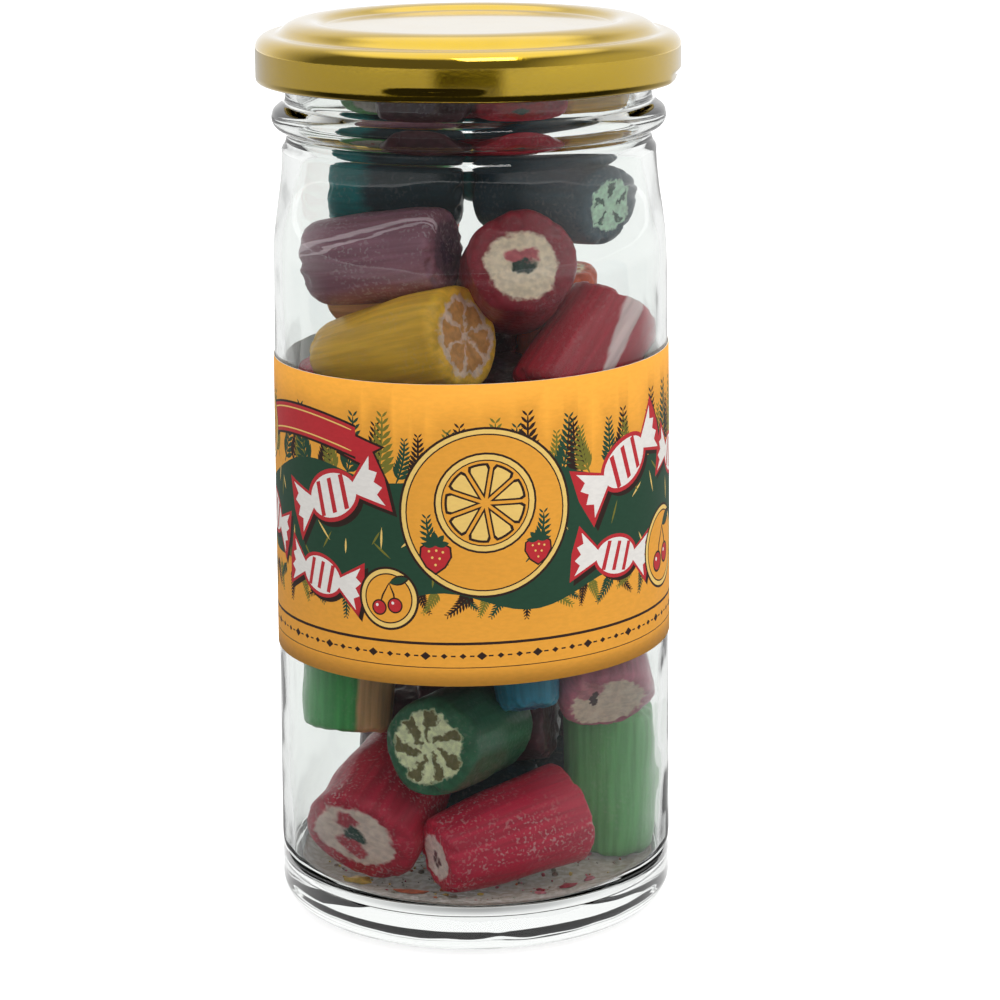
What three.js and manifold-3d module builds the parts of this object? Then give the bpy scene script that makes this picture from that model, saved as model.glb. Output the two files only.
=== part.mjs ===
// A sealed glass jar of fruit rock candy, in millimetres, +Z up.
// A clear round jar with a gold twist-off lid and an amber paper label round its body holds short
// cut pieces of a thick candy rope. The jar stands on the plane z = 0 with its axis on Z, and the
// middle of the label faces -Y.
// The candies are one heap. Those that show above and below the label have their own places, and
// the others, round the back and behind the label, start from rough places and are pushed apart.

import * as THREE from 'three';
import { mergeVertices } from 'three/addons/utils/BufferGeometryUtils.js';
import Module from 'manifold-3d';

const wasm = await Module();
wasm.setup();

// ---- driving dimensions ----

const ROUND = 48; // sides of the jar and the lid
const GAP = 0.35; // clearance between touching pieces

const JAR = {
  pushUp: 2.0, // height of the hollow under the base
  pushUpRadius: 20.5,
  ringInner: 23.4, // flat ring that the jar stands on
  heelRadius: 4.0,
  bodyLow: 29.2, // outer radius just above the heel
  bodyHigh: 28.5, // and where the shoulder starts
  wall: 1.3,
  floor: 4.9, // inner floor at its edge
  floorDome: 0.5,
  innerHeel: 5.0,
  shoulderStart: 97,
  shoulderEnd: 113.3,
  shoulderTop: 26.95, // outer radius at the top of the shoulder
  neck: 26.3,
  mouth: 24.4, // inner radius of neck and mouth
  rim: 129.4,
};

// Glass ring below the lid, as radius and height.
const BEAD = [[26.3, 115.6], [27.5, 116.0], [28.2, 116.8], [28.4, 117.8], [28.1, 118.7], [27.2, 119.4],
  [26.35, 119.8]];

const LID = {
  radius: 30.5,
  sheet: 0.5,
  panelTop: 130.3,
  panelRadius: 20.2,
  shoulderRadius: 2.2,
  ledge: 129.5, // height of the flat between the raised ring and the shoulder
  bottom: 122.6,
  curlInner: 29.0,
  lugs: 4,
  lugTurn: THREE.MathUtils.degToRad(-8.4), // first lug, from -Y towards +X
  lugHalfWidth: THREE.MathUtils.degToRad(13),
  lugHeight: 1.9,
  lugDepth: 0.5,
};

// Raised ring on top of the lid, as radius and height, from the panel outwards.
const RING = [[20.8, 130.6], [21.6, 131.15], [22.8, 131.4], [24.6, 131.3], [26.0, 130.7], [26.8, 129.9]];

const LABEL = {
  low: 40.8, // edges at the middle of the front
  high: 84.0,
  wrap: THREE.MathUtils.degToRad(313),
  thickness: 0.25,
  segments: 44,
  askew: Math.tan(THREE.MathUtils.degToRad(0.95)), // it climbs towards +X
};

// Centre x, y, z, then heading and lift of the cut end in degrees, then length and radius.
// Heading 0 faces the front, -Y, and 90 faces +X.
const SHOWN = [
  [-12.2, -9.0, 99.0, 67, 9, 20, 6.7],
  [-10.2, 1.0, 109.3, 84, 0, 19, 6.5],
  [11.6, -6.0, 106.9, 46, -2, 21, 5.9],
  [6.4, -12.6, 96.8, 7, 22, 18, 7.7],
  [11.2, 11.0, 84.8, 20, 76, 20, 7.0],
  [-9.9, -12.8, 86.0, 53, 15, 24, 7.2],
  [16.2, -8.6, 83.9, -45, -44, 18, 7.3],
  [3.0, -2.6, 73.2, 12, 76, 18, 7.0],
  [-18.8, 3.0, 71.8, 0, 86, 20, 7.0],
  [-18.0, -7.5, 38.7, -20, -82, 21, 6.9],
  [-1.9, -14.1, 28.8, -25, 7, 21, 7.4],
  [7.2, -10.5, 41.6, 10, -64, 19, 5.2],
  [17.8, -4.4, 38.6, 10, -36, 19, 7.1],
  [20.5, 2.4, 17.3, 0, 88, 23, 7.3],
  [-13.0, -9.8, 17.6, -24, -23, 19, 8.0],
  [4.3, -15.2, 14.0, -60, -8, 23, 6.8],
  [-13.0, 6.5, 121.8, 2, 4, 18, 6.4],
  [-5.8, -11.8, 120.8, -3, 3, 17, 6.3],
  [6.8, -10.6, 120.6, 5, 8, 15, 6.3],
  [14.4, 5.0, 121.4, 45, 0, 17, 6.3],
];
const LOOSE = [
  [-9.5, 14.0, 17.0, 10, 86, 21, 7.2],
  [7.0, 12.5, 13.0, 84, 0, 20, 7.0],
  [8.5, 13.5, 30.5, 72, -10, 20, 6.9],
  [-8.0, 14.0, 38.5, 20, 78, 20, 7.0],
  [6.0, 12.5, 46.0, 110, 12, 20, 7.0],
  [-9.5, -13.5, 57.5, 62, 6, 20, 7.0],
  [-18.5, 4.5, 53.5, 10, 70, 20, 7.0],
  [12.5, -12.0, 60.0, 118, -6, 20, 7.0],
  [-1.5, 15.5, 61.0, 95, -8, 20, 7.0],
  [18.8, 6.5, 56.0, -10, 78, 20, 7.0],
  [-12.0, -13.0, 71.5, 55, 8, 20, 7.0],
  [-12.0, 12.5, 78.0, 130, 12, 20, 7.0],
  [4.0, 18.0, 69.5, 80, -8, 20, 7.0],
  [19.3, -3.5, 68.0, 20, 80, 16, 6.9],
  [-11.0, 8.0, 91.5, 70, 6, 18, 6.9],
  [-11.5, 12.5, 104.0, 96, 3, 15, 6.4],
];

const CANDY = {
  sides: 10,
  chamfer: 1.2,
  rounds: 200, // of pushing the loose candies apart
  wallGap: 0.2,
  inset: 0.55, // the end spheres' centres lie this many radii inside the cut ends
  top: 128.5, // highest point that a candy may reach
};
const CORE = { radius: 15, low: 9, high: 119 };

// ---- helpers ----

// Points of an arc in the plane of a profile, angles in degrees.
function arc(centreR, centreZ, radius, from, to, steps) {
  const points = [];
  for (let i = 0; i <= steps; i += 1) {
    const a = THREE.MathUtils.degToRad(from + (to - from) * i / steps);
    points.push([centreR + radius * Math.cos(a), centreZ + radius * Math.sin(a)]);
  }
  return points;
}

// Turns a profile of [radius, height] points about Z.
function turned(profile, sides = ROUND) {
  const points = profile.map(([r, z]) => new THREE.Vector2(r, z));
  return new THREE.LatheGeometry(points, sides).rotateX(Math.PI / 2);
}

function toSolid(geometry) {
  const bare = geometry.clone();
  bare.deleteAttribute('normal');
  bare.deleteAttribute('uv');
  const merged = mergeVertices(bare, 1e-4);
  const corners = merged.index.array;
  const triangles = [];
  for (let i = 0; i < corners.length; i += 3) {
    const [a, b, c] = corners.slice(i, i + 3);
    if (a !== b && b !== c && c !== a) triangles.push(a, b, c); // leaves out slivers on the axis
  }
  return new wasm.Manifold(new wasm.Mesh({
    numProp: 3,
    vertProperties: new Float32Array(merged.attributes.position.array),
    triVerts: new Uint32Array(triangles),
  }));
}

// The largest connected shell of a solid, without loose scraps and sealed hollows.
function largestShell(solid) {
  const mesh = solid.getMesh();
  const parent = Array.from({ length: mesh.vertProperties.length / mesh.numProp }, (_, i) => i);
  const rootOf = (i) => {
    let at = i;
    while (parent[at] !== at) at = parent[at];
    parent[i] = at;
    return at;
  };
  const triangles = mesh.triVerts;
  for (let i = 0; i < triangles.length; i += 3) {
    parent[rootOf(triangles[i])] = rootOf(triangles[i + 1]);
    parent[rootOf(triangles[i + 1])] = rootOf(triangles[i + 2]);
  }
  const shells = new Map();
  for (let i = 0; i < triangles.length; i += 3) {
    const root = rootOf(triangles[i]);
    if (!shells.has(root)) shells.set(root, []);
    shells.get(root).push(triangles[i], triangles[i + 1], triangles[i + 2]);
  }
  const largest = [...shells.values()].reduce((a, b) => (b.length > a.length ? b : a));
  const geometry = new THREE.BufferGeometry();
  geometry.setAttribute('position', new THREE.BufferAttribute(new Float32Array(mesh.vertProperties), 3));
  geometry.setIndex(largest);
  return geometry;
}

// Angle round the jar, from -Y towards +X.
function turnOf(x, y) {
  return Math.atan2(x, -y);
}

function named(name, geometry, look) {
  const mesh = new THREE.Mesh(geometry, new THREE.MeshStandardMaterial(look));
  mesh.name = name;
  return mesh;
}

// ---- jar ----

// Outer radius of the straight body, which widens a little towards the base.
function bodyRadius(z) {
  const start = JAR.heelRadius;
  return JAR.bodyLow + (JAR.bodyHigh - JAR.bodyLow) * (z - start) / (JAR.shoulderStart - start);
}

// Share of the way through the shoulder's soft S, from 0 at its start to 1 at its end.
function shoulderShare(z) {
  return (1 - Math.cos(Math.PI * (z - JAR.shoulderStart) / (JAR.shoulderEnd - JAR.shoulderStart))) / 2;
}

// Inner radius of the glass at a height.
function innerRadius(z) {
  if (z < JAR.shoulderStart) return bodyRadius(Math.max(z, JAR.heelRadius)) - JAR.wall;
  if (z < JAR.shoulderEnd) {
    const start = JAR.bodyHigh - JAR.wall;
    return start + (JAR.mouth - start) * shoulderShare(z);
  }
  return JAR.mouth;
}

function shoulder(radiusAt) {
  const points = [];
  const steps = 5;
  for (let i = 0; i <= steps; i += 1) {
    const z = JAR.shoulderStart + (JAR.shoulderEnd - JAR.shoulderStart) * i / steps;
    points.push([radiusAt(z), z]);
  }
  return points;
}

// The hollow from the mouth down to the middle of the floor, drawn in by a clearance.
function hollowProfile(clearance, top) {
  const heelTop = JAR.floor + JAR.innerHeel;
  const heelR = innerRadius(heelTop) - JAR.innerHeel;
  const heel = arc(heelR, heelTop, JAR.innerHeel - clearance, 0, -90, 4);
  const wall = shoulder((z) => innerRadius(z) - clearance).reverse();
  return [
    [JAR.mouth - clearance, top],
    ...wall,
    ...heel,
    [heelR / 2, JAR.floor + 0.75 * JAR.floorDome + clearance],
    [0, JAR.floor + JAR.floorDome + clearance],
  ];
}

function makeJar() {
  const outerShoulder = shoulder((z) => JAR.bodyHigh + (JAR.shoulderTop - JAR.bodyHigh) * shoulderShare(z));
  const profile = [
    [0, JAR.pushUp],
    [JAR.pushUpRadius, JAR.pushUp - 0.4],
    [JAR.ringInner, 0],
    ...arc(JAR.bodyLow - JAR.heelRadius, JAR.heelRadius, JAR.heelRadius, -90, 0, 5),
    ...outerShoulder,
    [JAR.neck, JAR.shoulderEnd + 0.9],
    ...BEAD,
    [JAR.neck, JAR.rim - 0.9],
    [JAR.neck - 0.6, JAR.rim],
    [JAR.mouth + 0.4, JAR.rim],
    ...hollowProfile(0, JAR.rim - 0.8),
  ];
  return named('jar_glass', turned(profile), {
    color: 0xe9f2ec, roughness: 0.04, metalness: 0, transparent: true, opacity: 0.3,
  });
}

// ---- lid ----

function makeLid() {
  const inner = LID.radius - LID.sheet;
  const arcR = LID.radius - LID.shoulderRadius;
  const arcZ = LID.ledge - LID.shoulderRadius;
  const curlR = (LID.radius + LID.curlInner) / 2;
  const curlHalf = (LID.radius - LID.curlInner) / 2;
  const ringUnder = RING.map(([r, z]) => [r, z - LID.sheet]);
  const profile = [
    [0, LID.panelTop - LID.sheet],
    [LID.panelRadius, LID.panelTop - LID.sheet],
    ...ringUnder,
    ...arc(arcR, arcZ, LID.shoulderRadius - LID.sheet, 90, 0, 3),
    [inner, LID.bottom + 2 * curlHalf + 0.4],
    ...arc(curlR, LID.bottom + curlHalf, curlHalf, 110, 340, 6),
    [LID.radius, LID.bottom + LID.lugHeight],
    ...arc(arcR, arcZ, LID.shoulderRadius, 0, 90, 4),
    ...[...RING].reverse(),
    [LID.panelRadius, LID.panelTop],
    [0, LID.panelTop],
  ];
  const geometry = turned(profile);
  pressLugs(geometry);
  return named('lid', geometry, { color: 0xb89a3a, roughness: 0.25, metalness: 1 });
}

// Presses the curled edge inwards at each lug.
function pressLugs(geometry) {
  const position = geometry.attributes.position;
  const step = 2 * Math.PI / LID.lugs;
  for (let i = 0; i < position.count; i += 1) {
    const x = position.getX(i);
    const y = position.getY(i);
    const radius = Math.hypot(x, y);
    const low = position.getZ(i) < LID.bottom + LID.lugHeight - 0.1;
    const turn = turnOf(x, y) - LID.lugTurn;
    const off = Math.abs(turn - step * Math.round(turn / step)) / LID.lugHalfWidth;
    if (!low || off >= 1 || radius < LID.curlInner - 1) continue;
    const scale = (radius - LID.lugDepth * Math.sqrt(1 - off * off)) / radius;
    position.setXY(i, x * scale, y * scale);
  }
}

// ---- label ----

function makeLabel() {
  const half = LABEL.wrap / 2;
  const front = -Math.PI / 2;
  const round = bodyRadius(LABEL.low) + GAP;
  const sheet = new THREE.Shape();
  sheet.absarc(0, 0, round + LABEL.thickness, front - half, front + half, false);
  sheet.absarc(0, 0, round, front + half, front - half, true);
  const height = LABEL.high - LABEL.low;
  const geometry = new THREE.ExtrudeGeometry(sheet, {
    depth: height, steps: 1, bevelEnabled: false, curveSegments: LABEL.segments,
  });
  // The sheet follows the glass at each height, and climbs round it.
  const position = geometry.attributes.position;
  for (let i = 0; i < position.count; i += 1) {
    const x = position.getX(i);
    const y = position.getY(i);
    const drawn = Math.hypot(x, y);
    const glass = bodyRadius(LABEL.low + position.getZ(i)) + GAP;
    const z = LABEL.low + position.getZ(i) + LABEL.askew * glass * turnOf(x, y);
    const scale = (drawn + glass - round) / drawn;
    position.setXYZ(i, x * scale, y * scale, z);
  }
  return named('label', geometry, { color: 0xf9bb57, roughness: 0.6, metalness: 0 });
}

// ---- candies ----

function axisOf(heading, lift) {
  const h = THREE.MathUtils.degToRad(heading);
  const l = THREE.MathUtils.degToRad(lift);
  return new THREE.Vector3(Math.sin(h) * Math.cos(l), -Math.cos(h) * Math.cos(l), Math.sin(l));
}

function readCandy([x, y, z, heading, lift, length, radius], held) {
  return {
    centre: new THREE.Vector3(x, y, z),
    axis: axisOf(heading, lift),
    length,
    radius,
    reach: length / 2 - CANDY.inset * radius,
    held,
  };
}

// From b to a, between the nearest points of the two candies' middle lines.
function between(a, b) {
  const apart = a.centre.clone().sub(b.centre);
  const dot = a.axis.dot(b.axis);
  const alongA = a.axis.dot(apart);
  const alongB = b.axis.dot(apart);
  const spread = 1 - dot * dot;
  const clampA = (s) => Math.max(-a.reach, Math.min(a.reach, s));
  const first = clampA(spread < 1e-9 ? 0 : (dot * alongB - alongA) / spread);
  const t = Math.max(-b.reach, Math.min(b.reach, dot * first + alongB));
  const s = clampA(dot * t - alongA);
  return apart.addScaledVector(a.axis, s).addScaledVector(b.axis, -t);
}

// Moves a candy in from the glass, the floor and the lid at both its ends.
function keepInside(candy) {
  for (const side of [-1, 1]) {
    const end = candy.centre.clone().addScaledVector(candy.axis, side * candy.reach);
    const most = innerRadius(end.z) - candy.radius - CANDY.wallGap;
    const out = Math.hypot(end.x, end.y);
    if (out > most) {
      candy.centre.x -= end.x / out * (out - most);
      candy.centre.y -= end.y / out * (out - most);
    }
    candy.centre.z += Math.max(0, JAR.floor + JAR.floorDome + candy.radius - end.z);
    candy.centre.z -= Math.max(0, end.z - CANDY.top + candy.radius);
  }
}

// Pushes the loose candies apart. The held ones stay where they are.
function settle(candies) {
  for (let round = 0; round < CANDY.rounds; round += 1) {
    const pushes = candies.map(() => new THREE.Vector3());
    for (let i = 0; i < candies.length; i += 1) {
      for (let j = i + 1; j < candies.length; j += 1) {
        if (candies[i].held && candies[j].held) continue;
        const gap = between(candies[i], candies[j]);
        const overlap = candies[i].radius + candies[j].radius - gap.length();
        if (overlap <= 0) continue;
        const share = candies[i].held || candies[j].held ? 0.5 : 0.25;
        gap.setLength(overlap * share);
        pushes[i].add(gap);
        pushes[j].sub(gap);
      }
    }
    candies.forEach((candy, i) => {
      if (candy.held) return;
      candy.centre.add(pushes[i]);
      keepInside(candy);
    });
  }
}

function candySolid(candy) {
  const half = candy.length / 2;
  const edge = candy.radius - CANDY.chamfer;
  const profile = [
    [0, -half],
    [edge, -half],
    [candy.radius, -half + CANDY.chamfer],
    [candy.radius, half - CANDY.chamfer],
    [edge, half],
    [0, half],
  ];
  const turn = new THREE.Quaternion().setFromUnitVectors(new THREE.Vector3(0, 0, 1), candy.axis);
  const geometry = turned(profile, CANDY.sides).applyQuaternion(turn);
  geometry.translate(candy.centre.x, candy.centre.y, candy.centre.z);
  return toSolid(geometry);
}

function makeHeap() {
  const candies = [
    ...SHOWN.map((row) => readCandy(row, true)),
    ...LOOSE.map((row) => readCandy(row, false)),
  ];
  settle(candies);
  const core = turned([[0, CORE.low], [CORE.radius, CORE.low], [CORE.radius, CORE.high], [0, CORE.high]], 12);
  const hollow = toSolid(turned([...hollowProfile(GAP, CANDY.top).reverse(), [0, CANDY.top]]));
  const heap = candies.reduce((all, candy) => all.add(candySolid(candy)), toSolid(core));
  return named('candy_heap', largestShell(heap.intersect(hollow)), {
    color: 0xb5484f, roughness: 0.45, metalness: 0,
  });
}

// ---- the whole ----

const jarOfCandy = new THREE.Group();
jarOfCandy.add(makeJar(), makeLid(), makeLabel(), makeHeap());

export default jarOfCandy;
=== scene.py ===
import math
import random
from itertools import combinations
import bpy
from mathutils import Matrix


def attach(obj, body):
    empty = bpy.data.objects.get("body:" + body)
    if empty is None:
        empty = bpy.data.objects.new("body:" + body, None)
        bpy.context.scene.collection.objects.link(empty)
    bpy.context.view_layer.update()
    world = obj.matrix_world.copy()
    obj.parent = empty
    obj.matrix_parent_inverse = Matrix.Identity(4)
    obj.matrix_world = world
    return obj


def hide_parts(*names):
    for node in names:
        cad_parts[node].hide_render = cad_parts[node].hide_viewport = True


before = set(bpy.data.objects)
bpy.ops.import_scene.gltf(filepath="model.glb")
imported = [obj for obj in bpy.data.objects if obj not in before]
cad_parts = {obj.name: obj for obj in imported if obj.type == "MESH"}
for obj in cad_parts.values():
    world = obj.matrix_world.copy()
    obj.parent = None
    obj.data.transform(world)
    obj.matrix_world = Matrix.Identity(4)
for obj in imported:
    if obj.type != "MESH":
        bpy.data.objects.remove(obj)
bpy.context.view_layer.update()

# A sealed glass jar of fruit rock candy: a smooth glass jar, a gold lacquered lid, a printed paper
# label, and cut pieces of candy rope, sorted into one mesh for each flavour, with their crumbs.
# Lengths are in millimetres up to the meshes, which are in metres. +Z is up and -Y is the front.

from types import SimpleNamespace

import bpy
import numpy as np
from mathutils import Matrix, Vector, geometry, noise

MM = 0.001
TAU = 2 * math.pi

# ---- sizes, as in the part's source ----

JAR = SimpleNamespace(
    push_up=2.0, push_up_radius=20.5, ring_inner=23.4, heel_radius=4.0,
    body_low=29.2, body_high=28.5, wall=1.3, floor=4.9, floor_dome=0.5, inner_heel=5.0,
    shoulder_start=97.0, shoulder_end=113.3, shoulder_top=26.95, neck=26.3, mouth=24.4, rim=129.4,
    lip=0.9, sides=160,
)
# The bead round the neck, and the ring on the lid's panel, as (radius, height).
BEAD = [
    (26.3, 115.6), (27.5, 116.0), (28.2, 116.8), (28.4, 117.8), (28.1, 118.7), (27.2, 119.4),
    (26.35, 119.8),
]
RING = [(20.8, 130.6), (21.6, 131.15), (22.8, 131.4), (24.6, 131.3), (26.0, 130.7), (26.8, 129.9)]
LID = SimpleNamespace(
    radius=30.5, sheet=0.5, panel_top=130.3, panel_radius=20.2, shoulder_radius=2.2, ledge=129.5,
    bottom=122.6, curl_inner=29.0, lugs=4, lug_turn=math.radians(-8.4), lug_half=math.radians(13),
    lug_height=1.9, lug_depth=0.5, lug_fade=0.6, sides=240,
)
LABEL = SimpleNamespace(
    low=40.8, high=84.0, wrap=math.radians(313), askew=math.tan(math.radians(0.95)),
    lift=0.06, thickness=0.14, column=2.4,
)

# Centre x, y, z, then heading and lift of the cut end in degrees, then length, radius and flavour.
# Heading 0 faces the front, -Y, and 90 faces +X. Some rows go on with the rope's spin in degrees, and
# how much wider the cut end is than the other, as a share of the radius. These candies stay in place.
SHOWN = [
    (-12.2, -9.0, 99.0, 67, 9, 20, 6.7, "grape", -41),
    (-10.2, 1.0, 109.3, 84, 0, 19, 6.5, "mint", 0, -0.02),
    (11.6, -6.0, 106.9, 46, -2, 21, 5.9, "kiwi", 20),
    (6.4, -12.6, 96.8, 7, 22, 18, 7.7, "cranberry", 180),
    (11.2, 11.0, 84.8, 20, 76, 20, 7.0, "orange"),
    (-9.9, -12.8, 86.0, 53, 15, 24, 7.2, "lemon", 10, 0.12),
    (16.2, -8.6, 83.9, -45, -44, 18, 7.3, "cherry", -163),
    (3.0, -2.6, 73.2, 12, 76, 18, 7.0, "plum"),
    (-18.8, 3.0, 71.8, 0, 86, 20, 7.0, "raspberry"),
    (-18.0, -7.5, 38.7, -20, -82, 21, 6.9, "apple", -90, -0.08),
    (-1.9, -14.1, 28.8, -25, 7, 21, 7.4, "lime", 0, 0.02),
    (7.2, -10.5, 41.6, 10, -64, 19, 5.2, "blueberry", 0, -0.10),
    (17.8, -4.4, 38.6, 10, -36, 19, 7.1, "peach"),
    (20.5, 2.4, 17.3, 0, 88, 23, 7.3, "melon"),
    (-13.0, -9.8, 17.6, -24, -23, 19, 8.0, "strawberry", 45, 0.10),
    (4.3, -15.2, 14.0, -60, -8, 23, 6.8, "raspberry", 0, -0.12),
    (-13.0, 6.5, 121.8, 2, 4, 18, 6.4, "melon"),
    (-5.8, -11.8, 120.8, -3, 3, 17, 6.3, "plum"),
    (6.8, -10.6, 120.6, 5, 8, 15, 6.3, "cherry"),
    (14.4, 5.0, 121.4, 45, 0, 17, 6.3, "lemon"),
]
# The candies behind the label and at the back, which give way to the others.
LOOSE = [
    (-9.5, 14.0, 17.0, 10, 86, 21, 7.2, "plum"),
    (7.0, 12.5, 13.0, 84, 0, 20, 7.0, "kiwi"),
    (8.5, 13.5, 30.5, 72, -10, 20, 6.9, "plum"),
    (-8.0, 14.0, 38.5, 20, 78, 20, 7.0, "orange"),
    (6.0, 12.5, 46.0, 110, 12, 20, 7.0, "lemon"),
    (-9.5, -13.5, 57.5, 62, 6, 20, 7.0, "kiwi"),
    (-18.5, 4.5, 53.5, 10, 70, 20, 7.0, "cherry"),
    (12.5, -12.0, 60.0, 118, -6, 20, 7.0, "orange"),
    (-1.5, 15.5, 61.0, 95, -8, 20, 7.0, "melon"),
    (18.8, 6.5, 56.0, -10, 78, 20, 7.0, "lime"),
    (-12.0, -13.0, 71.5, 55, 8, 20, 7.0, "peach"),
    (-12.0, 12.5, 78.0, 130, 12, 20, 7.0, "blueberry"),
    (4.0, 18.0, 69.5, 80, -8, 20, 7.0, "strawberry"),
    (19.3, -3.5, 68.0, 20, 80, 16, 6.9, "apple"),
    (-11.0, 8.0, 91.5, 70, 6, 18, 6.9, "apple"),
    (-11.5, 12.5, 104.0, 96, 3, 15, 6.4, "orange"),
]
# Candies in the middle of the heap and in the neck, which stay in place too.
INNER = [
    (-1.0, 2.5, 13.0, 100, 4, 20, 7.0, "mint"),
    (2.0, 2.0, 27.0, 75, 5, 20, 7.0, "plum"),
    (-3.0, 1.0, 41.0, 95, -5, 20, 7.0, "cranberry"),
    (2.0, 1.0, 55.0, 80, 5, 20, 7.0, "kiwi"),
    (-3.0, 4.5, 87.0, 88, 3, 18, 6.5, "plum"),
    (0.0, 4.5, 118.0, 90, 0, 20, 5.5, "cranberry"),
    (2.2, 5.0, 111.0, 88, 0, 7, 5.2, "mint"),
    (0.5, -3.0, 121.0, 90, 0, 9, 5.5, "cranberry"),
    (16.5, -8.5, 121.8, 100, 5, 9, 4.8, "lemon"),
]
CANDY = SimpleNamespace(rounds=200, wall_gap=0.2, inset=0.55, top=128.5)

# ---- the camera, at the photograph's viewing angle ----

CAMERA = SimpleNamespace(
    place=(0.00402, -0.460, 0.175), pitch=math.radians(13.98), roll=-0.008, lens=115.56,
    sensor=36.0, nearest=0.01)


def make_camera():
    data = bpy.data.cameras.new("camera")
    data.lens = CAMERA.lens
    data.sensor_width = CAMERA.sensor
    data.clip_start = CAMERA.nearest
    camera = bpy.data.objects.new("camera", data)
    bpy.context.scene.collection.objects.link(camera)
    camera.matrix_world = (
        Matrix.Translation(CAMERA.place)
        @ Matrix.Rotation(math.pi / 2 - CAMERA.pitch, 4, "X")
        @ Matrix.Rotation(CAMERA.roll, 4, "Z")
    )
    bpy.context.scene.camera = camera


# ---- meshes ----


def make_mesh(name, points, faces, materials, smooth=True, picks=None):
    """A mesh object from points in millimetres. picks gives each face's material."""
    mesh = bpy.data.meshes.new(name)
    mesh.from_pydata((np.asarray(points, float) * MM).tolist(), [], faces)
    for material in materials:
        mesh.materials.append(material)
    mesh.polygons.foreach_set("use_smooth", [smooth] * len(mesh.polygons))
    if picks is not None:
        mesh.polygons.foreach_set("material_index", picks)
    mesh.update()
    made = bpy.data.objects.new(name, mesh)
    bpy.context.scene.collection.objects.link(made)
    return made


def dress(piece, slot, *nodes):
    """The piece rides on the jar and stands for the nodes. slot is not used."""
    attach(piece, "root")
    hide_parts(*nodes)


def arc(centre_r, centre_z, radius, start, end, steps):
    angles = np.radians(np.linspace(start, end, steps + 1))
    return [(centre_r + radius * math.cos(a), centre_z + radius * math.sin(a)) for a in angles]


def rounded(points, most=100.0, steps=6):
    """The polyline with each corner rounded from `most` before it to `most` after it."""
    path = [tuple(points[0])]
    corners = [Vector(p) for p in points]
    for before, corner, after in zip(corners, corners[1:], corners[2:]):
        back, ahead = before - corner, after - corner
        start = corner + back * min(0.5, most / back.length)
        end = corner + ahead * min(0.5, most / ahead.length)
        for i in range(steps + 1):
            t = i / steps
            path.append(tuple(start * (1 - t) ** 2 + corner * 2 * t * (1 - t) + end * t ** 2))
    path.append(tuple(points[-1]))
    return path


def lathe(profile, sides, radius_at=None):
    """Points and faces of a profile of (radius, height), from the axis to the axis, turned about Z.
    Doubled points are dropped. radius_at(radius, height, turn) may change the radius, where turn runs
    from -Y towards +X."""
    points, rings, faces = [], [], []
    profile = [p for i, p in enumerate(profile) if i == 0 or math.dist(p, profile[i - 1]) > 1e-4]
    for radius, height in profile:
        if radius < 1e-6:
            rings.append([len(points)])
            points.append((0.0, 0.0, height))
            continue
        rings.append(list(range(len(points), len(points) + sides)))
        for i in range(sides):
            turn = TAU * i / sides
            r = radius_at(radius, height, turn) if radius_at else radius
            points.append((r * math.sin(turn), -r * math.cos(turn), height))
    for low, high in zip(rings, rings[1:]):
        for i in range(sides):
            j = (i + 1) % sides
            if len(low) == 1:
                faces.append((low[0], high[j], high[i]))
            elif len(high) == 1:
                faces.append((low[i], low[j], high[0]))
            else:
                faces.append((low[i], low[j], high[j], high[i]))
    return points, faces


# ---- shader nodes ----


def srgb(*display):
    """A display colour of 0 to 255 as the linear colour that shaders take."""
    parts = [c / 255 for c in display]
    return tuple(c / 12.92 if c <= 0.04045 else ((c + 0.055) / 1.055) ** 2.4 for c in parts) + (1.0,)


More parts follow.
